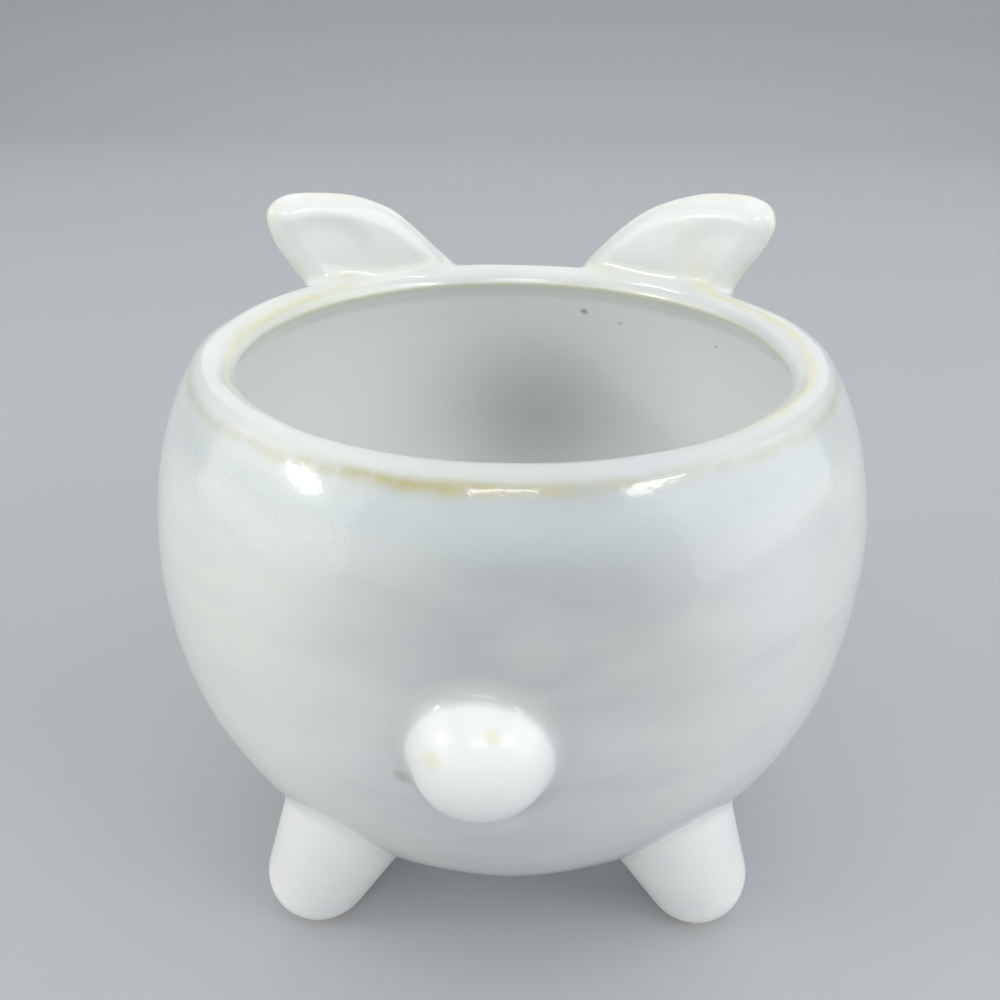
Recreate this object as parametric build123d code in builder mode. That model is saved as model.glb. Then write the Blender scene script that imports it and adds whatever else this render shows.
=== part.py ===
from build123d import *
import os
from math import asin, atan2, cos, log, pi, radians, sin, sqrt

# Animal shaped planter: a round glazed bowl on four stub legs, with a ball tail behind, two ears on
# the rim above the face, and a small plain face. The real one is luted together from these pieces
# and fired as one rigid ceramic, so the pieces meet face to face and nothing moves.
# Lengths are in millimetres. +Z is up, the tail points along -Y and the face looks along +Y.
# The origin is on the ground, on the axis of the bowl.

# Bowl, outside
body_radius = 57.0
belly_height = 55.8
crown_height = 51.8
rim_rise = 31.2
ground_clearance = 7.3
belly_fullness_share = 0.7253
crown_fullness_share = 0.7348

# Bowl, inside and rim
wall = 5.5
base_thickness = 6.0
rim_width = 6.9
lip_drop = 3.0
shoulder_drop = 1.8
crest_inset = 3.4
drain_radius = 5.0
drain_edge_round = 0.8

# Legs
foot_radius = 8.8
foot_flat_radius = 2.6
foot_inset = 15.4
foot_bearing = 39.7
hip_radius = 12.0
hip_inset = 18.2
hip_bearing = 58.5
hip_drop = 25.0

# Tail
tail_radius = 9.2
tail_sink = 1.8
tail_drop = 3.1
tail_fillet = 1.6
tail_fillet_sink = 0.6
tail_root_depth = 3.0

# Ears
ear_turn = 35.0
ear_inset = 1.4
ear_height = 16.6
ear_half_length = 16.0
ear_half_thickness = 3.7
ear_lean = 13.9
ear_level_shares = (-0.36, 0.03, 0.24, 0.48, 0.72, 0.87, 0.96, 1.0)
ear_lean_shares = (-0.10, -0.03, 0.14, 0.38, 0.63, 0.81, 0.97, 1.03)
ear_length_shares = (1.03, 1.0, 0.95, 0.88, 0.74, 0.53, 0.29, 0.14)
ear_thickness_shares = (1.0, 1.0, 0.97, 0.92, 0.83, 0.67, 0.44, 0.22)

# Face
muzzle_half_width = 13.0
muzzle_radius = 9.8
muzzle_relief = 5.6
muzzle_drop = 12.5
nose_half_width = 4.6
nose_radius = 3.3
nose_rise = 4.0
nose_relief = 3.4
eye_radius = 4.0
eye_relief = 1.9
eye_spread = 18.0
eye_rise = 4.0

# One overrun for every cut
cut_overrun = 2.0

belly_power = log(0.5) / log(belly_fullness_share)
crown_power = log(0.5) / log(crown_fullness_share)
equator_level = ground_clearance + belly_height
rim_level = equator_level + rim_rise
curve_steps = 3


# Round forms of the bowl: a quarter of a fuller than elliptic curve

def quarter_radius(radius, height, power, level):
    """Radius of the curve at a level measured away from its widest place."""
    return radius * (1 - (level / height) ** power) ** (1 / power)


def quarter_line(radius, height, power, last_level):
    """Points from the widest place to a level, each with the direction in which the curve runs there."""
    last_turn = asin((last_level / height) ** (power / 2))
    flatness = 2 / power
    line = []
    for step in range(curve_steps + 1):
        turn = last_turn * step / curve_steps
        place = Vector(radius * cos(turn) ** flatness, height * sin(turn) ** flatness)
        course = Vector(-radius * sin(turn) ** (2 - flatness), height * cos(turn) ** (2 - flatness))
        line.append((place, course.normalized()))
    return line


def placed(line, rise, flow):
    """The line above (rise 1) or below (rise -1) the bowl's widest level, and backwards if flow is -1."""
    steps = []
    for place, course in line[::flow]:
        level = equator_level + rise * place.Y
        steps.append((Vector(place.X, level), Vector(course.X, rise * course.Y) * flow))
    return steps


def tangent_arcs(line):
    """Two arcs between each two points of a line, all of them tangent to each other."""
    for (start, start_course), (end, end_course) in zip(line, line[1:]):
        chord = end - start
        bend = 2 * (1 - start_course.dot(end_course))
        along = chord.dot(start_course + end_course)
        reach = (sqrt(along ** 2 + bend * chord.dot(chord)) - along) / bend
        start_corner = start + start_course * reach
        end_corner = end - end_course * reach
        middle = (start_corner + end_corner) / 2
        TangentArc(start, middle, tangent=start_course)
        TangentArc(middle, end, tangent=end_corner - start_corner)


def outer_radius_at(level):
    """Outer radius of the bowl at a level above the ground."""
    if level < equator_level:
        return quarter_radius(body_radius, belly_height, belly_power, equator_level - level)
    return quarter_radius(body_radius, crown_height, crown_power, level - equator_level)


# Rim: one arc from the outer shoulder over the crest to the lip of the mouth
shoulder_rise = rim_rise - shoulder_drop
shoulder_radius = quarter_radius(body_radius, crown_height, crown_power, shoulder_rise)
mouth_radius = shoulder_radius - rim_width
shoulder = (shoulder_radius, equator_level + shoulder_rise)
crest = (mouth_radius + crest_inset, rim_level)
lip = (mouth_radius, rim_level - lip_drop)

# Planting space: its widest level is the bowl's, and its upper curve runs into the lip
inner_radius = body_radius - wall
inner_belly_height = belly_height - base_thickness
lip_rise = rim_rise - lip_drop
lip_share = (1 - (mouth_radius / inner_radius) ** crown_power) ** (1 / crown_power)
inner_crown_height = lip_rise / lip_share
floor_level = ground_clearance + base_thickness


def outer_curve():
    """Outside of the bowl, from the middle of its underside to the lip."""
    belly = quarter_line(body_radius, belly_height, belly_power, belly_height)
    tangent_arcs(placed(belly, -1, -1))
    crown = quarter_line(body_radius, crown_height, crown_power, shoulder_rise)
    tangent_arcs(placed(crown, 1, 1))
    ThreePointArc(shoulder, crest, lip)


def inner_curve():
    """Planting space, from the lip to the middle of its floor."""
    crown = quarter_line(inner_radius, inner_crown_height, crown_power, lip_rise)
    tangent_arcs(placed(crown, 1, -1))
    belly = quarter_line(inner_radius, inner_belly_height, belly_power, inner_belly_height)
    tangent_arcs(placed(belly, -1, 1))


# Filled form of the bowl, which its neighbours are cut by so that they seat on it. The seam of its
# round skin is in front, far from the tail.
with BuildPart() as bowl_form:
    with BuildSketch(Plane.YZ):
        with BuildLine():
            outer_curve()
            Line(lip, (0, lip[1]))
            Line((0, lip[1]), (0, ground_clearance))
        make_face()
    revolve(axis=Axis.Z)

with BuildPart() as pot_body:
    with BuildSketch(Plane.XZ) as pot_section:
        with BuildLine():
            outer_curve()
            inner_curve()
            Line((0, floor_level), (0, ground_clearance))
        make_face()
        with Locations((0, ground_clearance)):
            Rectangle(2 * drain_radius, 2 * (base_thickness + cut_overrun), mode=Mode.SUBTRACT)
        fillet(pot_section.vertices().sort_by(Axis.X)[:2], radius=drain_edge_round)
    revolve(axis=Axis.Z)


def under_bowl(inset, bearing, side, end, level):
    """Place at a distance in from the bowl's widest circle, turned from its side (X) to its end (Y)."""
    out = body_radius - inset
    turn = radians(bearing)
    return Vector(side * out * cos(turn), end * out * sin(turn), level)


def make_leg(label, side, end):
    """Tapered stub leg: a small ball foot and a wide ball hip in one skin, cut flat on the ground."""
    foot_level = sqrt(foot_radius ** 2 - foot_flat_radius ** 2)
    foot = under_bowl(foot_inset, foot_bearing, side, end, foot_level)
    hip = under_bowl(hip_inset, hip_bearing, side, end, equator_level - hip_drop)
    along = (hip - foot).normalized()
    leg_length = (hip - foot).length
    taper = asin((hip_radius - foot_radius) / leg_length)
    tangent_turn = pi / 2 + taper
    foot_turn = (pi + tangent_turn) / 2
    hip_turn = tangent_turn / 2
    foot_edge = (foot_radius * cos(tangent_turn), foot_radius * sin(tangent_turn))
    hip_edge = (leg_length + hip_radius * cos(tangent_turn), hip_radius * sin(tangent_turn))
    foot_middle = (foot_radius * cos(foot_turn), foot_radius * sin(foot_turn))
    hip_middle = (leg_length + hip_radius * cos(hip_turn), hip_radius * sin(hip_turn))
    with BuildPart() as leg:
        with BuildSketch(Plane(origin=foot, x_dir=along, z_dir=along.cross(Vector(0, 0, 1)))):
            with BuildLine():
                ThreePointArc((-foot_radius, 0), foot_middle, foot_edge)
                Line(foot_edge, hip_edge)
                ThreePointArc(hip_edge, hip_middle, (leg_length + hip_radius, 0))
                Line((leg_length + hip_radius, 0), (-foot_radius, 0))
            make_face()
        revolve(axis=Axis(foot, along))
        add(bowl_form.part, mode=Mode.SUBTRACT)
        split(bisect_by=Plane.XY, keep=Keep.TOP)
    leg.part.label = label
    return leg


def make_ear(label, side):
    """Ear lobe, lofted up from the rim through ovals that lean outwards along the rim."""
    turn = radians(ear_turn)
    outward = Vector(side * sin(turn), cos(turn), 0)
    sideways = Vector(side * cos(turn), -sin(turn), 0)
    rows = zip(ear_level_shares, ear_lean_shares, ear_length_shares, ear_thickness_shares)
    with BuildPart() as ear:
        for level_share, lean_share, length_share, thickness_share in rows:
            middle = outward * (shoulder_radius - ear_inset) + sideways * (ear_lean * lean_share)
            middle += Vector(0, 0, rim_level + ear_height * level_share)
            with BuildSketch(Plane(origin=middle, x_dir=sideways, z_dir=(0, 0, 1))):
                Ellipse(ear_half_length * length_share, ear_half_thickness * thickness_share)
        loft()
        add(bowl_form.part, mode=Mode.SUBTRACT)
    ear.part.label = label
    return ear


# Tail: a ball a little sunk in the bowl, with a concave fillet that dips just under the bowl's side
tail_level = equator_level - tail_drop
tail_seat_radius = outer_radius_at(tail_level)
tail_distance = tail_seat_radius - tail_sink
tail_middle = Vector(0, -tail_distance, tail_level)
sunk_seat_radius = tail_seat_radius - tail_fillet_sink
ball_reach = tail_radius + tail_fillet
seat_reach = sunk_seat_radius + tail_fillet
fillet_out = (seat_reach ** 2 - tail_distance ** 2 - ball_reach ** 2) / (2 * tail_distance)
fillet_side = sqrt(ball_reach ** 2 - fillet_out ** 2)
ball_share = tail_radius / ball_reach
seat_share = sunk_seat_radius / seat_reach
ball_edge = Vector(fillet_out, fillet_side) * ball_share
seat_edge = Vector(fillet_out + tail_distance, fillet_side) * seat_share - Vector(tail_distance, 0)
fillet_centre = Vector(fillet_out, fillet_side)
fillet_course = (ball_edge + seat_edge - fillet_centre * 2).normalized()
fillet_middle = fillet_centre + fillet_course * tail_fillet
ball_turn = atan2(ball_edge.Y, ball_edge.X) / 2
ball_middle = (tail_radius * cos(ball_turn), tail_radius * sin(ball_turn))

with BuildPart() as tail:
    with BuildSketch(Plane(origin=tail_middle, x_dir=(0, -1, 0), z_dir=(-1, 0, 0))):
        with BuildLine():
            ThreePointArc((tail_radius, 0), ball_middle, ball_edge)
            ThreePointArc(ball_edge, fillet_middle, seat_edge)
            Line(seat_edge, (-tail_root_depth, seat_edge.Y))
            Line((-tail_root_depth, seat_edge.Y), (-tail_root_depth, 0))
            Line((-tail_root_depth, 0), (tail_radius, 0))
        make_face()
    revolve(axis=Axis(tail_middle, (0, -1, 0)))
    add(bowl_form.part, mode=Mode.SUBTRACT)

# Face: a low oval muzzle, a nose on it and two eyes above


def wide_ball(middle, radius, half_width):
    """Ball stretched sideways, made on its own so that it can be joined to or cut from a piece."""
    stretch = half_width / radius
    return Pos(middle) * scale(Sphere(radius), by=(stretch, 1, 1))


muzzle_level = equator_level - muzzle_drop
muzzle_depth = outer_radius_at(muzzle_level) + muzzle_relief - muzzle_radius
muzzle_form = wide_ball(Vector(0, muzzle_depth, muzzle_level), muzzle_radius, muzzle_half_width)

with BuildPart() as muzzle:
    add(muzzle_form)
    add(bowl_form.part, mode=Mode.SUBTRACT)

nose_depth = muzzle_depth + sqrt(muzzle_radius ** 2 - nose_rise ** 2) + nose_relief - nose_radius
nose_form = wide_ball(Vector(0, nose_depth, muzzle_level + nose_rise), nose_radius, nose_half_width)

with BuildPart() as nose:
    add(nose_form)
    add(muzzle_form, mode=Mode.SUBTRACT)


def make_eye(label, side):
    """Small dome of a ball that is sunk in the bowl's wall."""
    eye_level = equator_level + eye_rise
    sunk_radius = outer_radius_at(eye_level) + eye_relief - eye_radius
    eye_turn = asin(eye_spread / sunk_radius)
    with BuildPart() as eye:
        with Locations((side * eye_spread, sunk_radius * cos(eye_turn), eye_level)):
            Sphere(eye_radius)
        add(bowl_form.part, mode=Mode.SUBTRACT)
    eye.part.label = label
    return eye


pot_body.part.label = "pot_body"
tail.part.label = "tail"
muzzle.part.label = "muzzle"
nose.part.label = "nose"
pieces = [pot_body, tail, muzzle, nose]
for side_name, side in (("left", -1), ("right", 1)):
    pieces.append(make_ear(f"{side_name}_ear", side))
    pieces.append(make_eye(f"{side_name}_eye", side))
    pieces.append(make_leg(f"{side_name}_rear_leg", side, -1))
    pieces.append(make_leg(f"{side_name}_front_leg", side, 1))

os.makedirs("parts", exist_ok=True)
for piece in pieces:
    export_step(piece.part, f"parts/{piece.part.label}.step")
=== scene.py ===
import math
import bpy
import numpy as np
import openvdb
from mathutils import Matrix, Vector


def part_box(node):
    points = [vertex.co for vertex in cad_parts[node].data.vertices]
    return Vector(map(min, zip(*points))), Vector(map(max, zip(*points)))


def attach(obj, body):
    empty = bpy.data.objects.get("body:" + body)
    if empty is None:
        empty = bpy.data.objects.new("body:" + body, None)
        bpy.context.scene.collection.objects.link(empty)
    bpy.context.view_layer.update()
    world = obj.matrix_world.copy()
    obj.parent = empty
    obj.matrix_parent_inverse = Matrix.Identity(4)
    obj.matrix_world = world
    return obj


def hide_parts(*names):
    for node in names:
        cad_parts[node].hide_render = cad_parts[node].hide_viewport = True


# Looks of the animal shaped planter. Shapes and materials are worked out in millimetres, in the model's own
# frame: +Z is up, the tail points along -Y and the face looks along +Y. Blender's units are metres.
mm = 0.001

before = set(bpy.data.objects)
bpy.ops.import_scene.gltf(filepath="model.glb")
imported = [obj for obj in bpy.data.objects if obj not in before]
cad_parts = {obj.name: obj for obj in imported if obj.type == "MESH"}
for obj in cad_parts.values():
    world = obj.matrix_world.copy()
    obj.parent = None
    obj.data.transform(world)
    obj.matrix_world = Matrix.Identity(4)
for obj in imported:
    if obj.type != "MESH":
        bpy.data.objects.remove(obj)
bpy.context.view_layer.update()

# The planter is one rigid body
root = "root"


def box_mm(node):
    """Lowest and highest corner of a node of the model, in millimetres."""
    low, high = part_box(node)
    return np.array(low) / mm, np.array(high) / mm


# Bowl: the same driving sizes as the model's, with its width and height read from the frame
body_radius = box_mm("pot_body")[1][0]
rim_level = box_mm("pot_body")[1][2]
ground_clearance = 7.3
rim_rise = 31.2
crown_height = 51.8
belly_fullness_share = 0.7253
crown_fullness_share = 0.7348
wall = 5.5
base_thickness = 6.0
rim_width = 6.9
lip_drop = 3.0
shoulder_drop = 1.8
crest_inset = 3.4
drain_radius = 5.0
drain_edge = 0.8
equator_level = rim_level - rim_rise
belly_height = equator_level - ground_clearance
belly_power = math.log(0.5) / math.log(belly_fullness_share)
crown_power = math.log(0.5) / math.log(crown_fullness_share)

# Fineness of the meshes: steps round the bowl and along its section, and the grids of the distance fields
turns_of_mesh = 420
belly_steps = 64
crown_steps = 34
rim_steps = 22
inner_crown_steps = 32
inner_belly_steps = 60
corner_steps = 6
voxel = 0.42
face_voxel = 0.6 * voxel
band_voxels = 3
map_step = 0.25

# How the points of a distance field's mesh are drawn onto its surface
draw_rounds = 4
least_slope = 0.2
longest_draw_voxels = 0.5

# How a luted piece runs out on the bowl: proud of it where they touch, then just under its skin
proud = 0.02
proud_reach = 0.8
fade_depth = 0.14
root_depth = 1.3
fade_start_share = 0.75
fade_end_share = 1.35


def quarter(radius, height, power, last_level, count):
    """Fuller than elliptic quarter curve: points (across, away) from its widest place to a level."""
    last_turn = math.asin((last_level / height) ** (power / 2))
    turn = np.linspace(0, last_turn, count)
    across = radius * np.cos(turn) ** (2 / power)
    away = height * np.sin(turn) ** (2 / power)
    return np.column_stack([across, away])


def arc_through(start, middle, end, count):
    """Points of the circle's arc that runs through three points."""
    (ax, ay), (bx, by), (cx, cy) = start, middle, end
    spread = 2 * (ax * (by - cy) + bx * (cy - ay) + cx * (ay - by))
    a, b, c = ax * ax + ay * ay, bx * bx + by * by, cx * cx + cy * cy
    centre = np.array([a * (by - cy) + b * (cy - ay) + c * (ay - by),
                       a * (cx - bx) + b * (ax - cx) + c * (bx - ax)]) / spread
    turns = [math.atan2(*(np.array(point) - centre)[::-1]) for point in (start, end)]
    if turns[1] < turns[0]:
        turns[1] += 2 * math.pi
    turn = np.linspace(*turns, count)
    reach = math.dist(start, centre)
    return centre + reach * np.column_stack([np.cos(turn), np.sin(turn)])


# Section of the bowl
def bowl_section():
    """Outer side (underside to lip) and inner side (lip to floor) of the bowl's wall, as points."""
    belly = quarter(body_radius, belly_height, belly_power, belly_height, belly_steps) * (1, -1)
    crown = quarter(body_radius, crown_height, crown_power, rim_rise - shoulder_drop, crown_steps)
    shoulder = crown[-1] + (0, equator_level)
    mouth_radius = shoulder[0] - rim_width
    crest = (mouth_radius + crest_inset, rim_level)
    lip = (mouth_radius, rim_level - lip_drop)
    outer = np.vstack([belly[::-1], crown[1:]]) + (0, equator_level)
    rim = arc_through(shoulder, crest, lip, rim_steps)
    inner_radius = body_radius - wall
    lip_rise = rim_rise - lip_drop
    lip_share = (1 - (mouth_radius / inner_radius) ** crown_power) ** (1 / crown_power)
    inner_crown = quarter(inner_radius, lip_rise / lip_share, crown_power, lip_rise, inner_crown_steps)
    inner_height = belly_height - base_thickness
    inner_belly = quarter(inner_radius, inner_height, belly_power, inner_height, inner_belly_steps) * (1, -1)
    inner = np.vstack([inner_crown[::-1], inner_belly[1:]]) + (0, equator_level)
    return np.vstack([outer, rim[1:]]), inner[1:]


def rounded_corner(centre, first_turn, last_turn):
    """Quarter round of the drain hole's edge, between two turns in degrees."""
    turn = np.radians(np.linspace(first_turn, last_turn, corner_steps))
    return np.array(centre) + drain_edge * np.column_stack([np.cos(turn), np.sin(turn)])


outer_side, inner_side = bowl_section()
crest_radius = outer_side[-1, 0] + crest_inset
hole_edge = drain_radius + drain_edge
outer_wall = outer_side[outer_side[:, 0] > hole_edge]
inner_wall = inner_side[inner_side[:, 0] > hole_edge]
upper_corner = rounded_corner((hole_edge, inner_wall[-1, 1] - drain_edge), 90, 180)
lower_corner = rounded_corner((hole_edge, outer_wall[0, 1] + drain_edge), 180, 270)
wall_section = np.vstack([outer_wall, inner_wall, upper_corner, lower_corner])
filled_section = np.vstack([outer_side, [(0, outer_side[-1, 1])]])


def distance_map(outline, low, high):
    """Function that gives the signed distance to a closed outline, negative inside, off a fine grid."""
    counts = [int(math.ceil((high[axis] - low[axis]) / map_step)) + 1 for axis in (0, 1)]
    across = low[0] + map_step * np.arange(counts[0])
    up = low[1] + map_step * np.arange(counts[1])
    grid = np.stack(np.meshgrid(across, up, indexing="ij"), -1)
    nearest = np.full(counts, np.inf)
    inside = np.zeros(counts, bool)
    for start, end in zip(outline, np.roll(outline, -1, axis=0)):
        step = end - start
        if step @ step == 0:
            continue
        share = np.clip(((grid - start) @ step) / (step @ step), 0, 1)
        away = grid - start - share[..., None] * step
        nearest = np.minimum(nearest, np.sqrt((away ** 2).sum(-1)))
        crosses = (start[1] > grid[..., 1]) != (end[1] > grid[..., 1])
        if step[1]:
            side = start[0] + (grid[..., 1] - start[1]) * step[0] / step[1]
            inside ^= crosses & (grid[..., 0] < side)
    values = np.where(inside, -nearest, nearest)

    # Places past the grid are read just short of its last points, so that each has a cell
    last_cell = np.array(counts) - 1.001

    def look_up(first, second):
        """Signed distance at places, read between the grid's points."""
        a = np.clip((first - low[0]) / map_step, 0, last_cell[0])
        b = np.clip((second - low[1]) / map_step, 0, last_cell[1])
        i, j = a.astype(int), b.astype(int)
        s, t = a - i, b - j
        near = values[i, j] * (1 - t) + values[i, j + 1] * t
        far = values[i + 1, j] * (1 - t) + values[i + 1, j + 1] * t
        return near * (1 - s) + far * s

    return look_up


# The maps of the bowl's section reach from its axis and the ground past its widest place and the ears' tips
section_low, section_high = (-1.0, 0.0), (72.0, 116.0)
shell_map = distance_map(wall_section, section_low, section_high)
filled_map = distance_map(filled_section, section_low, section_high)

# Soft hollows that a hand-finished casting has: waves of random directions, in millimetres
hollow_lengths = (62, 48, 41, 35, 30, 27, 24, 21, 19, 17)
hollow_depth = 0.30
hollow_seed = 7
random_of_hollows = np.random.default_rng(hollow_seed)
wave_directions = random_of_hollows.normal(size=(len(hollow_lengths), 3))
wave_directions /= np.linalg.norm(wave_directions, axis=1, keepdims=True)
wave_starts = random_of_hollows.uniform(0, 2 * math.pi, len(hollow_lengths))

# How much of that depth the luted pieces have
leg_hollow_share = 0.5
tail_hollow_share = 0.4
ear_hollow_share = 0.4
face_hollow_share = 0.1


def hollows(points):
    """Depth of the soft hollows under the true surface, never above it."""
    total = np.zeros(points.shape[:-1])
    for length, direction, start in zip(hollow_lengths, wave_directions, wave_starts):
        total += np.cos(points @ direction * (2 * math.pi / length) + start)
    share = total / math.sqrt(len(hollow_lengths))
    return hollow_depth * (1 + np.tanh(share)) / 2


def bowl_distance(points, section_map):
    """Signed distance to the bowl's skin, hollows and all."""
    across = np.hypot(points[..., 0], points[..., 1])
    return section_map(across, points[..., 2]) + hollows(points)


def smooth_union(first, second, fillet):
    """Joins two fields with a round fillet of about this width."""
    nearness = np.maximum(fillet - np.abs(first - second), 0) / fillet
    return np.minimum(first, second) - nearness ** 2 * fillet / 4


def smooth_cut(first, second, edge):
    """Keeps what is inside both fields, with a softened edge."""
    return -smooth_union(-first, -second, edge)


def smooth_step(value, start, end):
    """0 before the start, 1 past the end and a smooth rise between them."""
    share = np.clip((value - start) / (end - start), 0, 1)
    return share * share * (3 - 2 * share)


def luted(own, bowl, fillet):
    """A piece with its fillet onto the bowl: the fillet runs out just under the bowl's skin."""
    joined = smooth_union(own, bowl, fillet)
    fade = fade_depth * smooth_step(own, fillet * fade_start_share, fillet * fade_end_share)
    lift = proud * (1 - smooth_step(bowl, 0.0, proud_reach))
    skin = joined + fade - lift
    return np.maximum(np.maximum(skin, -(bowl + root_depth)), own - fillet * fade_end_share)


def oval_distance(points, middle, radii):
    """Close estimate of the distance to an oval ball."""
    radii = np.array(radii)
    offset = points - np.array(middle)
    near = np.linalg.norm(offset / radii, axis=-1)
    steep = np.linalg.norm(offset / radii ** 2, axis=-1)
    return near * (near - 1) / np.maximum(steep, 1e-6)


# Meshes
def make_object(name, points, faces, replaces, material):
    """Mesh object of points in millimetres that rides on the model and replaces its nodes."""
    mesh = bpy.data.meshes.new(name)
    mesh.from_pydata([tuple(point) for point in points * mm], [], faces)
    mesh.validate()
    mesh.shade_smooth()
    mesh.materials.append(material)
    piece = bpy.data.objects.new(name, mesh)
    bpy.context.scene.collection.objects.link(piece)
    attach(piece, root)
    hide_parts(*replaces)
    return piece


def glaze_attributes(piece, thin=0.0, bare=0.0, painted_light=0.0, inside=0.0):
    """The values that the white glaze reads by name, each one number or one for each point."""
    for name, value in (("thin", thin), ("bare", bare), ("painted_light", painted_light), ("inside", inside)):
        values = np.broadcast_to(value, len(piece.data.vertices)).astype(np.float32)
        piece.data.attributes.new(name, "FLOAT", "POINT").data.foreach_set("value", values)


def gradient(field, points, reach=0.02):
    """Direction in which a field grows at points."""
    parts = []
    for axis in range(3):
        step = np.zeros(3)
        step[axis] = reach
        parts.append((field(points + step) - field(points - step)) / (2 * reach))
    return np.stack(parts, -1)


def skin_of(field, low, high, size=voxel):
    """Closed mesh of the surface on which a field is zero: points in millimetres, and faces."""
    low = np.array(low, float)
    counts = np.ceil((np.array(high) - low) / size).astype(int) + 1
    axes = [low[axis] + size * np.arange(counts[axis]) for axis in range(3)]
    places = np.stack(np.meshgrid(*axes, indexing="ij"), -1)
    band = band_voxels * size
    values = np.clip(field(places), -band, band).astype(np.float32)
    grid = openvdb.FloatGrid(background=band)
    grid.copyFromArray(np.ascontiguousarray(values))
    points, quads = grid.convertToQuads(isovalue=0.0)
    points = low + size * points.astype(float)
    for _ in range(draw_rounds):
        slope = gradient(field, points)
        steep = np.maximum((slope ** 2).sum(-1), least_slope)
        move = -(field(points) / steep)[:, None] * slope
        length = np.linalg.norm(move, axis=1, keepdims=True)
        points += move * np.minimum(1, longest_draw_voxels * size / np.maximum(length, 1e-9))
    return points, outward(points, quads[:, ::-1])


def outward(points, quads):
    """The faces, turned over all together if they look inwards."""
    corners = points[quads]
    normals = np.cross(corners[:, 2] - corners[:, 0], corners[:, 3] - corners[:, 1])
    volume = (corners.mean(1) * normals).sum()
    return [tuple(quad) for quad in (quads if volume > 0 else quads[:, ::-1]).tolist()]


# Materials
def shade(red, green, blue):
    """Colour as a screen shows it, 0 to 255, turned into Blender's linear one."""
    linear = []
    for part in (red, green, blue):
        part /= 255
        linear.append(part / 12.92 if part <= 0.04045 else ((part + 0.055) / 1.055) ** 2.4)
    return (*linear, 1.0)


# Places of the colour sockets among those of Blender's mix node
mix_colour_inputs = (6, 7)
mix_colour_output = 2


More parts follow.
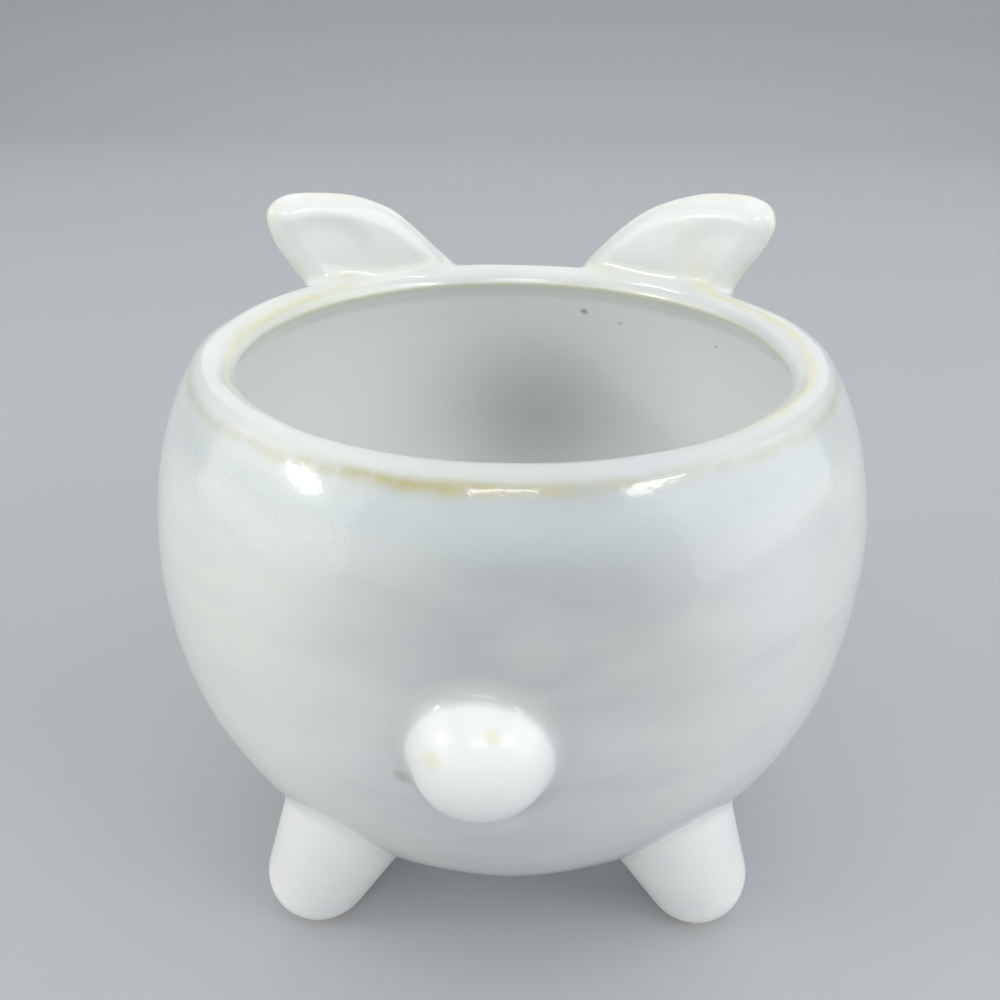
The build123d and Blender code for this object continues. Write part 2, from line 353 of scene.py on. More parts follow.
class Glaze:
    """One material, with the colour laid so far. Methods that name a value add its nodes and return it."""

    def __init__(self, name):
        self.material = bpy.data.materials.new(name)
        self.material.use_nodes = True
        self.nodes = self.material.node_tree.nodes
        self.links = self.material.node_tree.links
        self.surface = self.nodes["Principled BSDF"]
        self.place = self.scaled(self.add("ShaderNodeTexCoord").outputs["Object"], (1 / mm,) * 3)
        self.x, self.y, self.z = self.add("ShaderNodeSeparateXYZ", Vector=self.place).outputs
        self.colour = None

    def put(self, socket, value):
        """Links the socket to another node's output, or sets it to a constant."""
        if isinstance(value, bpy.types.NodeSocket):
            self.links.new(value, socket)
        else:
            socket.default_value = value

    def add(self, kind, **inputs):
        """A new node with these inputs."""
        node = self.nodes.new(kind)
        for name, value in inputs.items():
            self.put(node.inputs[name], value)
        return node

    def work_out(self, kind, first, second=0.0):
        """Arithmetic on numbers, such as ADD or SUBTRACT."""
        node = self.nodes.new("ShaderNodeMath")
        node.operation = kind
        self.put(node.inputs[0], first)
        self.put(node.inputs[1], second)
        return node.outputs["Value"]

    def times(self, first, *others):
        """Product of two or more values."""
        for other in others:
            first = self.work_out("MULTIPLY", first, other)
        return first

    def scaled(self, vector, factors):
        """A vector with each of its parts multiplied by a factor."""
        node = self.nodes.new("ShaderNodeVectorMath")
        node.operation = "MULTIPLY"
        self.put(node.inputs[0], vector)
        self.put(node.inputs[1], factors)
        return node.outputs["Vector"]

    def noise(self, size, detail, roughness, flatness=1.0):
        """Cloudy noise from 0 to 1 with lumps of about this size, so many times lower than wide."""
        node = self.add("ShaderNodeTexNoise", Vector=self.scaled(self.place, (1, 1, flatness)),
                        Scale=1 / size, Detail=detail, Roughness=roughness)
        return node.outputs["Fac"]

    def between(self, value, start, end, low=0.0, high=1.0):
        """Smooth rise from low at the start to high at the end, level beyond them."""
        node = self.nodes.new("ShaderNodeMapRange")
        node.interpolation_type = "SMOOTHSTEP"
        for name, number in (("Value", value), ("From Min", start), ("From Max", end),
                             ("To Min", low), ("To Max", high)):
            self.put(node.inputs[name], number)
        return node.outputs["Result"]

    def bell(self, value, middle, width):
        """Bell curve of a value round a middle, 1 there and 0 far off."""
        offset = self.work_out("DIVIDE", self.work_out("SUBTRACT", value, middle), width)
        return self.work_out("EXPONENT", self.times(offset, offset, -1.0))

    def distance(self, centre):
        """Distance from a place."""
        node = self.nodes.new("ShaderNodeVectorMath")
        node.operation = "DISTANCE"
        self.put(node.inputs[0], self.place)
        self.put(node.inputs[1], centre)
        return node.outputs["Value"]

    def attribute(self, name):
        """Value that the mesh holds for each of its points."""
        node = self.nodes.new("ShaderNodeAttribute")
        node.attribute_name = name
        return node.outputs["Fac"]

    def tint(self, share, first, second):
        """Colour mixed between two colours by a share."""
        node = self.nodes.new("ShaderNodeMix")
        node.data_type = "RGBA"
        self.put(node.inputs["Factor"], share)
        self.put(node.inputs[mix_colour_inputs[0]], first)
        self.put(node.inputs[mix_colour_inputs[1]], second)
        return node.outputs[mix_colour_output]

    def lay(self, share, colour):
        """Lays a colour over the one laid so far, by a share."""
        self.colour = self.tint(share, self.colour, colour)

    def spot(self, centre, radius):
        """1 within an uneven small spot round a place, with a soft edge."""
        unevenness = self.work_out("SUBTRACT", self.noise(*spot_noise), 0.5)
        away = self.work_out("ADD", self.distance(centre), self.times(unevenness, spot_unevenness * radius))
        return self.between(away, spot_core_share * radius, radius, 1.0, 0.0)

    def spots(self, places):
        """1 in each of a list of spots."""
        share = 0.0
        for centre, radius in places:
            share = self.work_out("MAXIMUM", share, self.spot(centre, radius))
        return share

    def finished(self, roughness, coat, coat_roughness, relief, relief_depth):
        """The material with its colour and gloss, and a relief of 0 to 1 that stands for this depth."""
        for name, value in (("Base Color", self.colour), ("Roughness", roughness),
                            ("Coat Weight", coat), ("Coat Roughness", coat_roughness)):
            self.put(self.surface.inputs[name], value)
        bump = self.add("ShaderNodeBump", Height=relief, Strength=1.0, Distance=relief_depth * mm)
        for layer in ("Normal", "Coat Normal"):
            self.put(self.surface.inputs[layer], bump.outputs["Normal"])
        return self.material


# Noises: size of the lumps in millimetres, detail, roughness, and how many times lower than wide they are.
# A cut is the two levels of a noise between which it goes from nothing to full.
cloud_noise = (34, 3.0, 0.55)
cloud_cut = (0.38, 0.62)
patch_noise = (26, 3.0, 0.55, 3.2)
patch_cut = (0.44, 0.74)
haze_noise = (28, 2.0, 0.5, 2.2)
haze_cut = (0.36, 0.6)
speckle_noise = (0.5, 2.0, 0.6, 0.45)
speckle_cut = (0.5, 0.66)
waver_noise = (9, 3.0, 0.6)
break_noise = (3.5, 3.0, 0.65)
break_cut = (0.3, 0.58)
edge_noise = (4.5, 2.0, 0.5)
edge_cut = (0.3, 0.65)
spot_noise = (1.1, 2.0, 0.6)
lump_noise = (3.4, 3.0, 0.5)
pore_noise = (0.9, 2.0, 0.5)
leg_cloud_noise = (12, 3.0, 0.55)
leg_cloud_cut = (0.35, 0.65)
leg_grime_noise = (1.8, 3.0, 0.6)
leg_grime_cut = (0.3, 0.6)
leg_lump_noise = (2.2, 3.0, 0.5)
brown_cloud_noise = (2.5, 3.0, 0.6)
brown_cloud_cut = (0.3, 0.7)
brown_lump_noise = (1.2, 3.0, 0.5)

# Colours, and the share up to which each is laid where it is laid in part
warm_cloud, cool_cloud = shade(224, 228, 222), shade(222, 226, 228)
patch_grey, patch_share = shade(203, 209, 211), 0.6
# Painted light: whiter low on the left, paler and bluer low on the right
left_painted_light, left_top_share, left_low_share = shade(236, 239, 230), 0.38, 0.85
right_painted_light, right_share = shade(232, 235, 241), 0.7
# Painted light: laid where the mesh's painted light attribute asks, on the rim's top, the tail and the ears
painted_light_white, painted_light_share = shade(242, 244, 242), 0.75
# Painted light inside the bowl, and painted shade deep in its far wall
inside_painted_light = shade(241, 243, 242)
deep_painted_shade, deep_shade_share = shade(166, 169, 170), 0.75
# Painted shade on the middle of the near side
near_painted_shade, near_share, near_low_share, haze_low_share = shade(165, 171, 172), 0.85, 0.55, 0.72
band_blue, band_share = shade(196, 207, 209), 0.6
speckle_blue, speckle_share = shade(188, 200, 205), 0.32
# Painted shade in the crease round the tail
crease_painted_shade, crease_shade_share = shade(198, 194, 193), 0.4
break_khaki, break_share, break_extra_share = shade(184, 176, 124), 0.33, 0.6
line_gap_share = 0.35
thin_straw, straw_share, straw_near_share, straw_far_share = shade(224, 223, 190), 0.9, 0.25, 0.75
pit_grey, pit_share = shade(118, 118, 110), 0.7
spot_straw, spot_share = shade(226, 222, 168), 0.42
smudge_grey, smudge_share = shade(168, 168, 150), 0.6
bare_clay = shade(214, 198, 172)
leg_warm, leg_cool = shade(247, 249, 243), shade(244, 245, 244)
grime_tan, grime_share, grime_low_share = shade(196, 172, 122), 0.5, 0.4
dark_brown, light_brown = shade(62, 40, 28), shade(92, 62, 42)

# Gloss, and relief in millimetres: the bowl's coat of clear glaze is dull inside and in the tail's crease,
# its lumps, pores and pits are shares of its relief, and the legs' roughness falls from the ground up
patch_roughness_cut = (0.3, 0.7)
patch_roughness = (0.28, 0.36)
bare_extra_roughness = 0.4
full_coat = 0.65
inside_dullness = 0.85
coat_roughness = 0.09
white_relief = 0.09
lump_share = 0.6
pore_share = 0.1
pit_depth_share = 1.5
leg_roughness = (0.8, 0.36)
leg_coat = 0.35
leg_coat_roughness = 0.14
leg_relief = 0.05
brown_roughness = 0.25
brown_coat = 0.8
brown_coat_roughness = 0.04
brown_relief = 0.04

# Where the white glaze changes, in millimetres. A pair from nothing to full is called a rise, and a pair of
# a bell's middle and width is called a bell.
# The rises and bells below place painted light low on the left and right, and painted shade deep in the far
# wall and on the middle of the near side
left_rise = (-9, -31)
left_level_rise = (62, 38)
right_rise = (20, 40)
right_level_rise = (62, 40)
far_rise = (0, 40)
deep_across_bell = (2, 23)
deep_level_bell = (61, 19)
near_rise = (-12, -36)
near_across_bell = (5, 25)
near_level_rise = (54, 76)
band_bell = (88.8, 3.4)
speckle_bell = (87.3, 5.1)

# Levels on the legs, in millimetres, written as rises
grime_rise = (3.0, 1.2)
foot_bare_rise = (0.5, 0.2)
leg_roughness_rise = (0.2, 1.0)

# Lines, in millimetres: a dark one where the glaze breaks on the shoulder, strongest on the near side, and
# pale ones on the crest at each side and at the mouth. Rings are rises by the distance from the axis.
line_waver = 1.8
break_bell = (92.35, 0.75)
break_ring = (47.6, 48.6)
break_extra_bell = (-8, 15)
break_extra_rise = (-8, -30)
right_line_bell = (45.1, 0.75)
right_line_rise = (26, 36)
left_line_bell = (43.4, 0.75)
left_line_rise = (-26, -36)
crest_level_rise = (92.2, 92.9)
mouth_line_bell = (91.0, 0.8)
mouth_ring = (43.8, 43.1)
mouth_line_rise = (-18, 8)

# Spots, each with its place and radius: small pits in the far wall, straw spots on the tail and a grey one
# beside it
spot_unevenness = 0.9
spot_core_share = 0.15
pinholes = (((12.35, 44.83, 85.2), 1.15), ((19.52, 43.13, 83.54), 0.5), ((36.51, 30.25, 83.39), 0.6))
tail_spots = (((-6.36, -61.74, 63.47), 2.0), ((0.79, -61.1, 66.75), 1.5))
grey_spot = ((-11.1, -55.4, 54.6), 1.7)

# Tail: a ball that is a little sunk in the bowl
tail_radius = 9.2
tail_sink = 1.8
tail_drop = 3.1
tail_fillet = 2.6
tail_shift = -1.0
tail_level = equator_level - tail_drop
tail_seat = quarter(body_radius, belly_height, belly_power, tail_drop, 2)[-1, 0]
tail_middle = (tail_shift, tail_sink - tail_seat, tail_level)
crease_shade_bell = (tail_radius + 1.4, 1.0)
crease_dull_bell = (tail_radius + 1.6, 2.0)


def lay_cloudy_white(glaze, patches):
    """Cloudy cool white with flat grey patches, and painted light: whiter low on the left, paler and bluer
    low on the right, and whiter on the rim's top, the tail and the ears' upper parts.
    """
    glaze.colour = glaze.tint(glaze.between(glaze.noise(*cloud_noise), *cloud_cut), warm_cloud, cool_cloud)
    glaze.lay(glaze.between(patches, *patch_cut, 0.0, patch_share), patch_grey)
    left_light_mask = glaze.between(glaze.z, *left_level_rise, left_top_share, left_low_share)
    glaze.lay(glaze.times(glaze.between(glaze.x, *left_rise), left_light_mask), left_painted_light)
    right_light_mask = glaze.between(glaze.x, *right_rise, 0.0, right_share)
    glaze.lay(glaze.times(right_light_mask, glaze.between(glaze.z, *right_level_rise)), right_painted_light)
    glaze.lay(glaze.times(glaze.attribute("painted_light"), painted_light_share), painted_light_white)


def lay_inside(glaze, inside):
    """Painted light that whitens the planting space evenly, and painted shade deep in the middle of its far
    wall.
    """
    glaze.lay(inside, inside_painted_light)
    far_wall = glaze.times(glaze.bell(glaze.x, *deep_across_bell), glaze.between(glaze.y, *far_rise))
    deep = glaze.times(far_wall, glaze.bell(glaze.z, *deep_level_bell), inside)
    glaze.lay(glaze.times(deep, deep_shade_share), deep_painted_shade)


def lay_near_side(glaze, inside):
    """Painted shade on the middle of the near side, less where painted light is laid, and a blue speckled
    band under its rim.
    """
    near = glaze.times(glaze.between(glaze.y, *near_rise), glaze.work_out("SUBTRACT", 1.0, inside))
    haze = glaze.between(glaze.noise(*haze_noise), *haze_cut, haze_low_share, 1.0)
    higher = glaze.between(glaze.z, *near_level_rise, near_low_share, 1.0)
    middle = glaze.times(glaze.bell(glaze.x, *near_across_bell), near, haze, higher)
    shade_share = glaze.work_out("SUBTRACT", near_share, glaze.attribute("painted_light"))
    glaze.lay(glaze.times(middle, shade_share), near_painted_shade)
    glaze.lay(glaze.times(glaze.bell(glaze.z, *band_bell), near, band_share), band_blue)
    speckle = glaze.times(glaze.between(glaze.noise(*speckle_noise), *speckle_cut),
                          glaze.bell(glaze.z, *speckle_bell), near)
    glaze.lay(glaze.times(speckle, speckle_share), speckle_blue)


def lay_lines(glaze):
    """Khaki line where the glaze breaks below the rim, straw ones on the crest, the mouth and the ears."""
    squares = glaze.work_out("ADD", glaze.times(glaze.x, glaze.x), glaze.times(glaze.y, glaze.y))
    across = glaze.work_out("SQRT", squares)
    waver = glaze.times(glaze.work_out("SUBTRACT", glaze.noise(*waver_noise), 0.5), line_waver)
    wavy_level = glaze.work_out("ADD", glaze.z, waver)
    wavy_radius = glaze.work_out("ADD", across, waver)
    broken = glaze.between(glaze.noise(*break_noise), *break_cut, line_gap_share, 1.0)

    extra = glaze.times(glaze.bell(glaze.x, *break_extra_bell), glaze.between(glaze.y, *break_extra_rise),
                        break_extra_share)
    break_line = glaze.times(glaze.bell(wavy_level, *break_bell), glaze.between(across, *break_ring),
                             glaze.work_out("ADD", extra, break_share), broken)
    glaze.lay(break_line, break_khaki)

    right_line = glaze.times(glaze.bell(wavy_radius, *right_line_bell),
                             glaze.between(glaze.x, *right_line_rise))
    left_line = glaze.times(glaze.bell(wavy_radius, *left_line_bell), glaze.between(glaze.x, *left_line_rise))
    crest_line = glaze.times(glaze.work_out("ADD", left_line, right_line),
                             glaze.between(glaze.z, *crest_level_rise))
    mouth_line = glaze.times(glaze.bell(wavy_level, *mouth_line_bell), glaze.between(across, *mouth_ring),
                             glaze.between(glaze.y, *mouth_line_rise, straw_near_share, straw_far_share))
    straw_lines = glaze.times(glaze.work_out("MAXIMUM", crest_line, mouth_line), broken, straw_share)
    ear_edges = glaze.times(glaze.attribute("thin"), glaze.between(glaze.noise(*edge_noise), *edge_cut))
    glaze.lay(glaze.work_out("MAXIMUM", straw_lines, ear_edges), thin_straw)


def white_glaze():
    """Glossy white reactive glaze: cloudy cool white that breaks to khaki and straw where it runs thin, with
    painted light and painted shade laid into its colour.
    """
    glaze = Glaze("white_glaze")
    patches = glaze.noise(*patch_noise)
    inside, bare = glaze.attribute("inside"), glaze.attribute("bare")
    from_tail = glaze.distance(tail_middle)
    pits = glaze.spots(pinholes)
    lay_cloudy_white(glaze, patches)
    lay_inside(glaze, inside)
    lay_near_side(glaze, inside)
    # Painted shade in the crease round the tail
    glaze.lay(glaze.times(glaze.bell(from_tail, *crease_shade_bell), crease_shade_share), crease_painted_shade)
    lay_lines(glaze)
    glaze.lay(glaze.times(pits, pit_share), pit_grey)
    glaze.lay(glaze.times(glaze.spots(tail_spots), spot_share), spot_straw)
    glaze.lay(glaze.times(glaze.spot(*grey_spot), smudge_share), smudge_grey)
    glaze.lay(bare, bare_clay)

    roughness = glaze.work_out("ADD", glaze.between(patches, *patch_roughness_cut, *patch_roughness),
                               glaze.times(bare, bare_extra_roughness))
    dull = glaze.work_out("MAXIMUM", glaze.times(inside, inside_dullness),
                          glaze.bell(from_tail, *crease_dull_bell))
    coat = glaze.times(glaze.work_out("SUBTRACT", 1.0, dull), full_coat)
    relief = glaze.work_out("ADD", glaze.times(glaze.noise(*lump_noise), lump_share),
                            glaze.times(glaze.noise(*pore_noise), pore_share))
    relief = glaze.work_out("SUBTRACT", relief, glaze.times(pits, pit_depth_share))
    return glaze.finished(roughness, coat, coat_roughness, relief, white_relief)


def leg_glaze():
    """Smooth satin glaze, whiter than the bowl's, with grime and bare clay under the feet."""
    glaze = Glaze("leg_glaze")
    clouds = glaze.between(glaze.noise(*leg_cloud_noise), *leg_cloud_cut)
    glaze.colour = glaze.tint(clouds, leg_warm, leg_cool)
    grime = glaze.between(glaze.noise(*leg_grime_noise), *leg_grime_cut, grime_low_share, 1.0)
    glaze.lay(glaze.times(glaze.between(glaze.z, *grime_rise), grime, grime_share), grime_tan)
    glaze.lay(glaze.between(glaze.z, *foot_bare_rise), bare_clay)
    roughness = glaze.between(glaze.z, *leg_roughness_rise, *leg_roughness)
    return glaze.finished(roughness, leg_coat, leg_coat_roughness, glaze.noise(*leg_lump_noise), leg_relief)


def brown_glaze():
    """Glossy dark brown glaze of the eyes and nose, with lighter clouds."""
    glaze = Glaze("brown_glaze")
    clouds = glaze.between(glaze.noise(*brown_cloud_noise), *brown_cloud_cut)
    glaze.colour = glaze.tint(clouds, dark_brown, light_brown)
    lumps = glaze.noise(*brown_lump_noise)
    return glaze.finished(brown_roughness, brown_coat, brown_coat_roughness, lumps, brown_relief)


white = white_glaze()
satin = leg_glaze()
brown = brown_glaze()


# Bowl: painted light on the rim's top, by the height from the rim's top, bare clay on the drain hole's edge,
# by the distance from the hole, and the inside, which begins at these shares of the wall's thickness
rim_light_share = 0.4
rim_light_rise = (-2.2, -0.9)
drain_bare_share = 0.8
drain_bare_rise = (0.9, 0.2)
inside_wall_rise = (0.6, 0.9)


def rim_painted_light(points):
    """Share of painted light that whitens the top of the rim."""
    return rim_light_share * smooth_step(points[:, 2] - rim_level, *rim_light_rise)


def make_bowl():
    """The bowl's wall, turned round the axis in a closed grid and pressed in by the hollows."""
    section = wall_section
    course = np.roll(section, -1, axis=0) - np.roll(section, 1, axis=0)
    normal = np.column_stack([course[:, 1], -course[:, 0]])
    normal /= np.linalg.norm(normal, axis=1, keepdims=True)
    turn = np.linspace(0, 2 * math.pi, turns_of_mesh, endpoint=False)

    def turned(line):
        """Points or directions of the section, turned round the axis: one row for each."""
        upward = np.repeat(line[:, 1, None], turns_of_mesh, 1)
        return np.stack([np.outer(line[:, 0], np.cos(turn)), np.outer(line[:, 0], np.sin(turn)), upward], -1)

    places = turned(section)
    places -= turned(normal) * hollows(places)[..., None]
    index = np.arange(len(section) * turns_of_mesh).reshape(len(section), turns_of_mesh)
    below, beside = np.roll(index, -1, axis=0), np.roll(index, -1, axis=1)
    quads = np.stack([index, beside, np.roll(below, -1, axis=1), below], -1).reshape(-1, 4)
    points = places.reshape(-1, 3)
    piece = make_object("bowl", points, outward(points, quads), ["pot_body"], white)

    out = np.hypot(points[:, 0], points[:, 1])
    bare = drain_bare_share * smooth_step(out - drain_radius, *drain_bare_rise)
    inside = smooth_step(-filled_map(out, points[:, 2]) / wall, *inside_wall_rise)
    glaze_attributes(piece, bare=bare, painted_light=rim_painted_light(points), inside=inside)


# Legs
foot_radius = 8.8
foot_flat_radius = 2.6
foot_inset = 15.4
foot_bearing = 39.7
hip_radius = 12.0
hip_inset = 18.2
hip_bearing = 58.5
hip_drop = 25.0
leg_fillet = 1.1
foot_edge = 0.8
foot_lift = 0.02
rear_pair_turn = 3.0
leg_margin = 2.5


def under_bowl(inset, bearing, side, end, level):
    """Place under the bowl. The rear pair sits turned a little, as the hand that luted it on left it."""
    out = body_radius - inset
    turn = math.radians(bearing)
    x, y = side * out * math.cos(turn), end * out * math.sin(turn)
    slack = math.radians(rear_pair_turn) if end < 0 else 0.0
    turned_x = x * math.cos(slack) - y * math.sin(slack)
    turned_y = x * math.sin(slack) + y * math.cos(slack)
    return np.array([turned_x, turned_y, level])


def capsule_distance(points, start, end, start_radius, end_radius):
    """Signed distance to a stub that tapers between two balls."""
    axis = end - start
    length = np.linalg.norm(axis)
    axis = axis / length
    offset = points - start
    along = offset @ axis
    out = np.sqrt(np.maximum((offset ** 2).sum(-1) - along ** 2, 0))
    sine = (start_radius - end_radius) / length
    cosine = math.sqrt(1 - sine * sine)
    shifted = along * cosine - out * sine
    side = out * cosine + along * sine - start_radius
    near = np.sqrt(out ** 2 + along ** 2) - start_radius
    far = np.sqrt(out ** 2 + (along - length) ** 2) - end_radius
    return np.where(shifted < 0, near, np.where(shifted > length * cosine, far, side))


def make_leg(node, side, end):
    """Tapered stub leg with a crisp crease against the bowl and a ground foot."""
    foot_level = math.sqrt(foot_radius ** 2 - foot_flat_radius ** 2)
    foot = under_bowl(foot_inset, foot_bearing, side, end, foot_level)
    hip = under_bowl(hip_inset, hip_bearing, side, end, equator_level - hip_drop)

    def field(points):
        stub = capsule_distance(points, foot, hip, foot_radius, hip_radius)
        stub = smooth_cut(stub + leg_hollow_share * hollows(points), foot_lift - points[..., 2], foot_edge)
        return luted(stub, bowl_distance(points, filled_map), leg_fillet)

    low, high = box_mm(node)
    points, faces = skin_of(field, low - leg_margin, high + leg_margin)
    make_object(node + "_form", points, faces, [node], satin)


# Tail: painted light whitens its ball and ends just outside it, on the fillet
tail_margin = 4.0
tail_light_rise = (0.5, -0.1)


def make_tail():
    """Ball tail with a narrow soft fillet all round."""
    def field(points):
        ball = oval_distance(points, tail_middle, (tail_radius,) * 3) + tail_hollow_share * hollows(points)
        return luted(ball, bowl_distance(points, filled_map), tail_fillet)

    low, high = box_mm("tail")
    points, faces = skin_of(field, low - tail_margin, high + tail_margin)
    piece = make_object("tail_form", points, faces, ["tail"], white)
    off_ball = np.linalg.norm(points - np.array(tail_middle), axis=1) - tail_radius
    # Painted light on the tail's ball
    glaze_attributes(piece, painted_light=smooth_step(off_ball, *tail_light_rise))


# Ears: outlines on an upright sheet, outwards along the rim and upwards from it. What differs between the two
# ears is given by side, -1 for the left and 1 for the right.
ear_turn = 35.0
ear_distance = 47.9
ear_height = 16.6
ear_fillet = 2.4
ear_half_thickness = 3.6
ear_edge = 2.3
ear_ridge = 4.0
dish_place = (11.0, 6.3)
dish_half_sizes = (10.0, 6.0)
dish_tilt = 20.0
dish_rise = (0.45, 1.1)
dish_depths = {-1: 0.8, 1: 0.3}
ear_back_leans = {-1: -0.5, 1: 1.3}
ear_low_margin = 6
ear_high_margins = (6, 6, 1)
sheet_low, sheet_high = (-34, -16), (34, 28)
left_outline = ((-19, -6), (-16.5, -1), (-12.2, 3.2), (-7.4, 7.7), (-2.4, 11.6), (4.7, 14.5), (11.7, 15.6),
                (17.2, 15.7), (20.6, 14.1), (21.3, 11.3), (19.9, 6.9), (16.9, 2.1), (14.2, -2), (12, -6))
right_outline = ((-21.5, -6), (-18.5, -0.5), (-14.2, 4.4), (-8.5, 9.6), (-2.9, 13.0), (4.3, 15.5),
                 (10.6, 16.4), (15.2, 16.3), (18.6, 14.9), (19.8, 11.8), (18.4, 7.7), (15.6, 3.4),
                 (13.6, -1), (12, -6))

# An ear dips under the bowl's skin where the rim turns down into the mouth: inwards of the rim's crest, or
# past the middle of the wall, and below the rim's top
mouth_dip = 1.0
dip_crest_rise = (0.0, 1.0)
dip_wall_rise = (0.45, 0.7)
dip_drop_rise = (0.2, 5.0)

# The glaze is thin on an ear's edge, once clear of the rim, and round its foot, and painted light whitens its
# upper part
thin_edge_share = 0.45
thin_edge_rise = (-1.5, -0.2)
thin_clear_rise = (0, 3)
thin_foot_share = 0.35
thin_foot_height = 0.8
thin_foot_width = 0.9
ear_light_share = 0.6
ear_light_rise = (1, 7)


def smooth_outline(corners, steps=10):
    """Closed smooth curve through the corners of an outline."""
    corners = np.array(corners, float)
    line = []
    for index in range(len(corners)):
        before, start, end, after = (corners[(index + shift) % len(corners)] for shift in (-1, 0, 1, 2))
        for step in range(steps):
            t = step / steps
            line.append(0.5 * (2 * start + (end - before) * t
                               + (2 * before - 5 * start + 4 * end - after) * t ** 2
                               + (3 * start - before - 3 * end + after) * t ** 3))
    return np.array(line)


def make_ear(node, side, outline):
    """Ear lobe: a rounded plate with a hollow inner face, that melts into the outer half of the rim."""
    turn = math.radians(ear_turn)
    outwards = np.array([side * math.sin(turn), math.cos(turn), 0])
    sideways = np.array([side * math.cos(turn), -math.sin(turn), 0])
    edge_map = distance_map(smooth_outline(outline), sheet_low, sheet_high)

    def dish(along, height):
        """Depth of the thumbed hollow on the ear's inner face."""
        tilt = math.radians(dish_tilt)
        off_along, off_height = along - dish_place[0], height - dish_place[1]
        first = (off_along * math.cos(tilt) + off_height * math.sin(tilt)) / dish_half_sizes[0]
        second = (off_height * math.cos(tilt) - off_along * math.sin(tilt)) / dish_half_sizes[1]
        return dish_depths[side] * (1 - smooth_step(np.hypot(first, second), *dish_rise))

    def plate(points):
        """The lobe alone, with its rounded edge and its lean."""
        along, height = points @ sideways, points[..., 2] - rim_level
        from_edge = edge_map(along, height)
        hollow = dish(along, height) / 2
        fullness = smooth_step(-from_edge, 0.0, ear_ridge)
        thickness = ear_edge + (ear_half_thickness - ear_edge) * fullness - hollow
        lean = ear_back_leans[side] * np.maximum(height, 0) / ear_height
        across = np.abs(points @ outwards - ear_distance - lean - hollow)
        beyond = np.maximum(from_edge + ear_edge, 0)
        above = np.maximum(across - thickness + ear_edge, 0)
        inner = np.minimum(np.maximum(from_edge + ear_edge, across - thickness + ear_edge), 0)
        return np.hypot(beyond, above) + inner - ear_edge

    def field(points):
        """The lobe luted on the rim, with its dip on the mouth's side."""
        lobe = plate(points) + ear_hollow_share * hollows(points)
        skin = luted(lobe, bowl_distance(points, shell_map), ear_fillet)
        out = np.hypot(points[..., 0], points[..., 1])
        past_crest = smooth_step(crest_radius - out, *dip_crest_rise)
        past_middle = smooth_step(-filled_map(out, points[..., 2]) / wall, *dip_wall_rise)
        below = smooth_step(rim_level - points[..., 2], *dip_drop_rise)
        return skin + mouth_dip * below * np.maximum(past_crest, past_middle)

    low, high = box_mm(node)
    points, faces = skin_of(field, low - ear_low_margin, high + ear_high_margins)
    piece = make_object(node + "_form", points, faces, [node], white)
    height = points[:, 2] - rim_level
    clear = smooth_step(height, *thin_clear_rise)
    edge = thin_edge_share * smooth_step(edge_map(points @ sideways, height), *thin_edge_rise) * clear
    foot = thin_foot_share * np.exp(-((height - thin_foot_height) / thin_foot_width) ** 2)
    # Painted light: the rim's, and more on the ear's upper part
    painted_light = rim_painted_light(points) + ear_light_share * smooth_step(height, *ear_light_rise)
    glaze_attributes(piece, thin=np.maximum(edge, foot), painted_light=painted_light)


# Face
muzzle_half_width = 13.0
muzzle_radius = 9.8
muzzle_relief = 5.6
muzzle_drop = 12.5
muzzle_fillet = 3.5
muzzle_margin = 5.0
nose_half_width = 4.6
nose_radius = 3.3
nose_rise = 4.0
nose_relief = 3.4
eye_radius = 4.0
eye_relief = 1.9
eye_spread = 18.0
eye_rise = 4.0
eye_fillet = 0.7
eye_margin = 2.0


def bowl_radius_at(level):
    """Outer radius of the bowl at a level near its middle."""
    away = abs(level - equator_level)
    height, power = (belly_height, belly_power) if level < equator_level else (crown_height, crown_power)
    return quarter(body_radius, height, power, away, 2)[-1, 0]


def make_face():
    """Low oval muzzle with a nose on it, and two eyes above."""
    muzzle_level = equator_level - muzzle_drop
    depth = bowl_radius_at(muzzle_level) + muzzle_relief - muzzle_radius
    muzzle_radii = (muzzle_half_width, muzzle_radius, muzzle_radius)
    nose_depth = depth + math.sqrt(muzzle_radius ** 2 - nose_rise ** 2) + nose_relief - nose_radius
    nose_middle = (0, nose_depth, muzzle_level + nose_rise)
    nose_radii = (nose_half_width, nose_radius, nose_radius)

    def muzzle(points):
        return oval_distance(points, (0, depth, muzzle_level), muzzle_radii)

    def muzzle_skin(points):
        return luted(muzzle(points), bowl_distance(points, filled_map), muzzle_fillet)

    def nose_skin(points):
        nose = oval_distance(points, nose_middle, nose_radii) + face_hollow_share * hollows(points)
        ground = smooth_union(muzzle(points), bowl_distance(points, filled_map), muzzle_fillet)
        return luted(nose, ground, eye_fillet)

    low, high = box_mm("muzzle")
    points, faces = skin_of(muzzle_skin, low - muzzle_margin, high + muzzle_margin)
    glaze_attributes(make_object("muzzle_form", points, faces, ["muzzle"], white))
    low, high = box_mm("nose")
    points, faces = skin_of(nose_skin, low - eye_margin, high + eye_margin, face_voxel)
    make_object("nose_form", points, faces, ["nose"], brown)

    eye_level = equator_level + eye_rise
    sunk = bowl_radius_at(eye_level) + eye_relief - eye_radius
    turn = math.asin(eye_spread / sunk)
    for node, side in (("left_eye", -1), ("right_eye", 1)):
        middle = (side * eye_spread, sunk * math.cos(turn), eye_level)

        def eye_skin(points, middle=middle):
            eye = oval_distance(points, middle, (eye_radius,) * 3) + face_hollow_share * hollows(points)
            return luted(eye, bowl_distance(points, filled_map), eye_fillet)

        low, high = box_mm(node)
        points, faces = skin_of(eye_skin, low - eye_margin, high + eye_margin, face_voxel)
        make_object(node + "_form", points, faces, [node], brown)


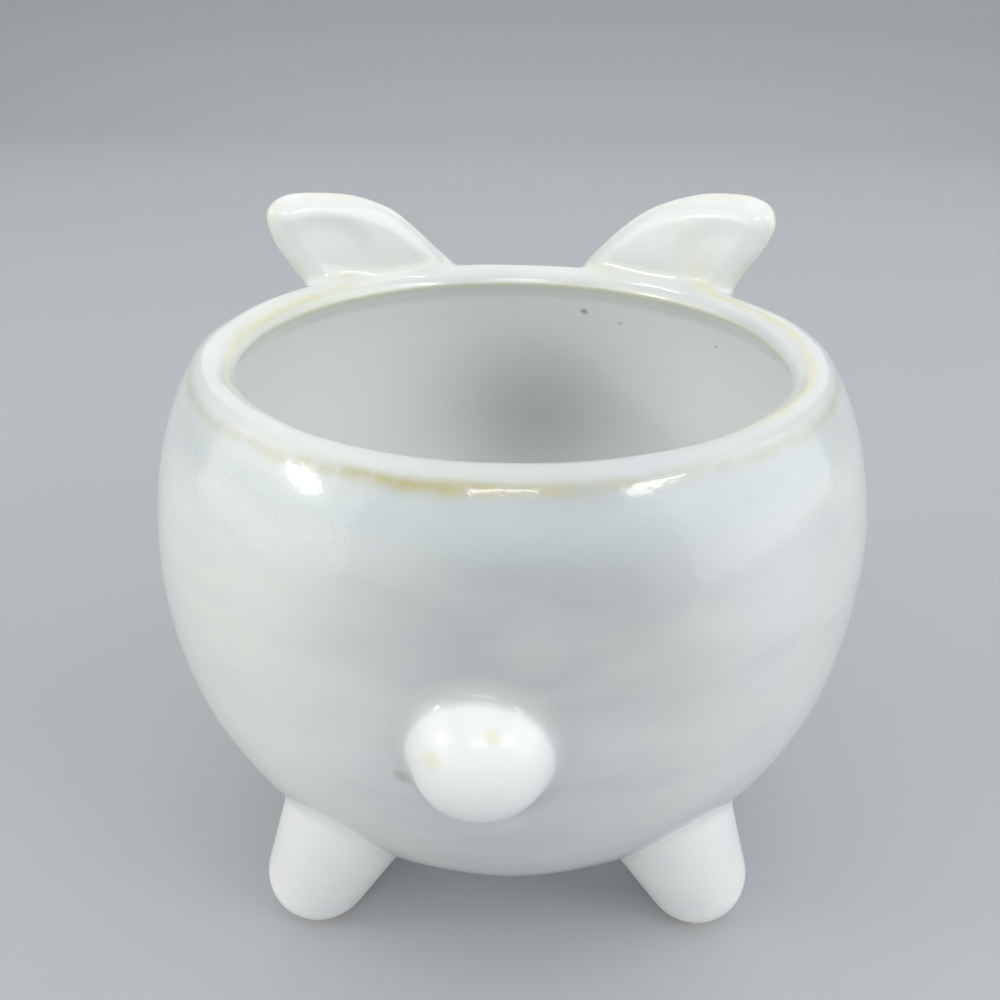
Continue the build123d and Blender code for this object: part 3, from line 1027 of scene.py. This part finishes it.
make_bowl()
for side_name, side in (("left", -1), ("right", 1)):
    make_leg(side_name + "_rear_leg", side, -1)
    make_leg(side_name + "_front_leg", side, 1)
make_tail()
make_ear("left_ear", -1, left_outline)
make_ear("right_ear", 1, right_outline)
make_face()


# Camera: fitted to the photograph's outline
camera_place = Vector((5.95, -150.53, 143.8)) * mm
camera_heading = -0.0514
camera_pitch = 0.478
camera_roll = -0.009
camera_lens = 36.065
camera_sensor = 36
camera_clip_start = 0.01

level_course = Vector((math.sin(camera_heading), math.cos(camera_heading), 0))
level_right = Vector((math.cos(camera_heading), -math.sin(camera_heading), 0))
up = Vector((0, 0, 1))
course = math.cos(camera_pitch) * level_course - math.sin(camera_pitch) * up
level_up = math.sin(camera_pitch) * level_course + math.cos(camera_pitch) * up
camera_right = math.cos(camera_roll) * level_right - math.sin(camera_roll) * level_up
camera_up = math.sin(camera_roll) * level_right + math.cos(camera_roll) * level_up
camera_data = bpy.data.cameras.new("camera")
camera_data.lens = camera_lens
camera_data.sensor_width = camera_sensor
camera_data.clip_start = camera_clip_start
camera = bpy.data.objects.new("camera", camera_data)
axes = Matrix((camera_right, camera_up, -course)).transposed().to_4x4()
camera.matrix_world = Matrix.Translation(camera_place) @ axes
bpy.context.scene.collection.objects.link(camera)
bpy.context.scene.camera = camera


# Floor, with a backdrop that rises behind it in a soft bend, in metres
floor_half_width = 6.0
floor_front = -6.0
floor_back = 1.4
floor_bend = 0.5
backdrop_top = 2.2
bend_turns = range(6, 91, 6)
floor_grey = shade(184, 186, 189)
floor_roughness = 0.85
floor_shine = 0.2


def make_floor():
    """Pale floor that bends up into a backdrop, well clear of the planter."""
    bend_start = floor_back - floor_bend
    line = [(floor_front, 0.0), (bend_start, 0.0)]
    for turn in map(math.radians, bend_turns):
        line.append((bend_start + floor_bend * math.sin(turn), floor_bend - floor_bend * math.cos(turn)))
    line.append((floor_back, backdrop_top))
    points = [(side * floor_half_width, along, height) for along, height in line for side in (-1, 1)]
    faces = [(2 * row, 2 * row + 1, 2 * row + 3, 2 * row + 2) for row in range(len(line) - 1)]
    mesh = bpy.data.meshes.new("floor")
    mesh.from_pydata(points, [], faces)
    mesh.shade_smooth()
    floor = bpy.data.objects.new("floor", mesh)
    bpy.context.scene.collection.objects.link(floor)
    material = bpy.data.materials.new("floor")
    material.use_nodes = True
    surface = material.node_tree.nodes["Principled BSDF"]
    surface.inputs["Base Color"].default_value = floor_grey
    surface.inputs["Roughness"].default_value = floor_roughness
    surface.inputs["Specular IOR Level"].default_value = floor_shine
    mesh.materials.append(material)


make_floor()


# Light, in metres and watts: wide soft boxes all round and above, three small lamps for the highlights on the
# rim and tail, and an even sky
lamp_target = Vector((0, 0, 60 * mm))
box_distance = 1.0
spot_distance = 0.75
plain_white = (1.0, 1.0, 1.0)
warm_white = (1.0, 1.0, 0.955)
cool_white = (0.975, 0.985, 1.0)
sky_colour = (0.97, 0.985, 1.0, 1.0)
sky_strength = 0.6


def soft_lamp(name, shape, direction, distance, size, power, colour=plain_white):
    """Area lamp that looks at the middle of the bowl from a direction."""
    data = bpy.data.lights.new(name, "AREA")
    data.shape = shape
    data.size, data.size_y = size
    data.energy = power
    data.color = colour
    lamp = bpy.data.objects.new(name, data)
    place = Matrix.Translation(Vector(direction).normalized() * distance + lamp_target)
    lamp.matrix_world = place @ Vector(direction).to_track_quat("Z", "Y").to_matrix().to_4x4()
    bpy.context.scene.collection.objects.link(lamp)


for name, direction, size, power, colour in (
        ("left_box", (-0.9, -0.25, 0.2), (1.1, 1.2), 4.2, warm_white),
        ("right_box", (0.94, -0.1, 0.24), (1.1, 1.2), 4.8, cool_white),
        ("top_box", (0.0, 0.05, 1.0), (1.3, 1.3), 1.7, plain_white),
        ("front_box", (0.0, -0.8, 0.6), (1.0, 0.8), 0.3, plain_white),
        ("back_box", (0.0, 0.8, 0.6), (1.3, 0.9), 2.2, plain_white)):
    soft_lamp(name, "RECTANGLE", direction, box_distance, size, power, colour)
soft_lamp("left_spot", "ELLIPSE", (-0.853, -0.341, 0.396), spot_distance, (0.14, 0.06), 0.5)
soft_lamp("right_spot", "ELLIPSE", (0.65, -0.515, 0.555), spot_distance, (0.28, 0.06), 0.6)
soft_lamp("front_strip", "RECTANGLE", (0.0, -0.758, 0.652), spot_distance, (0.28, 0.04), 0.6)

world = bpy.data.worlds.new("world")
world.use_nodes = True
sky = world.node_tree.nodes["Background"]
sky.inputs["Color"].default_value = sky_colour
sky.inputs["Strength"].default_value = sky_strength
bpy.context.scene.world = world
bpy.context.scene.view_settings.view_transform = "Standard"
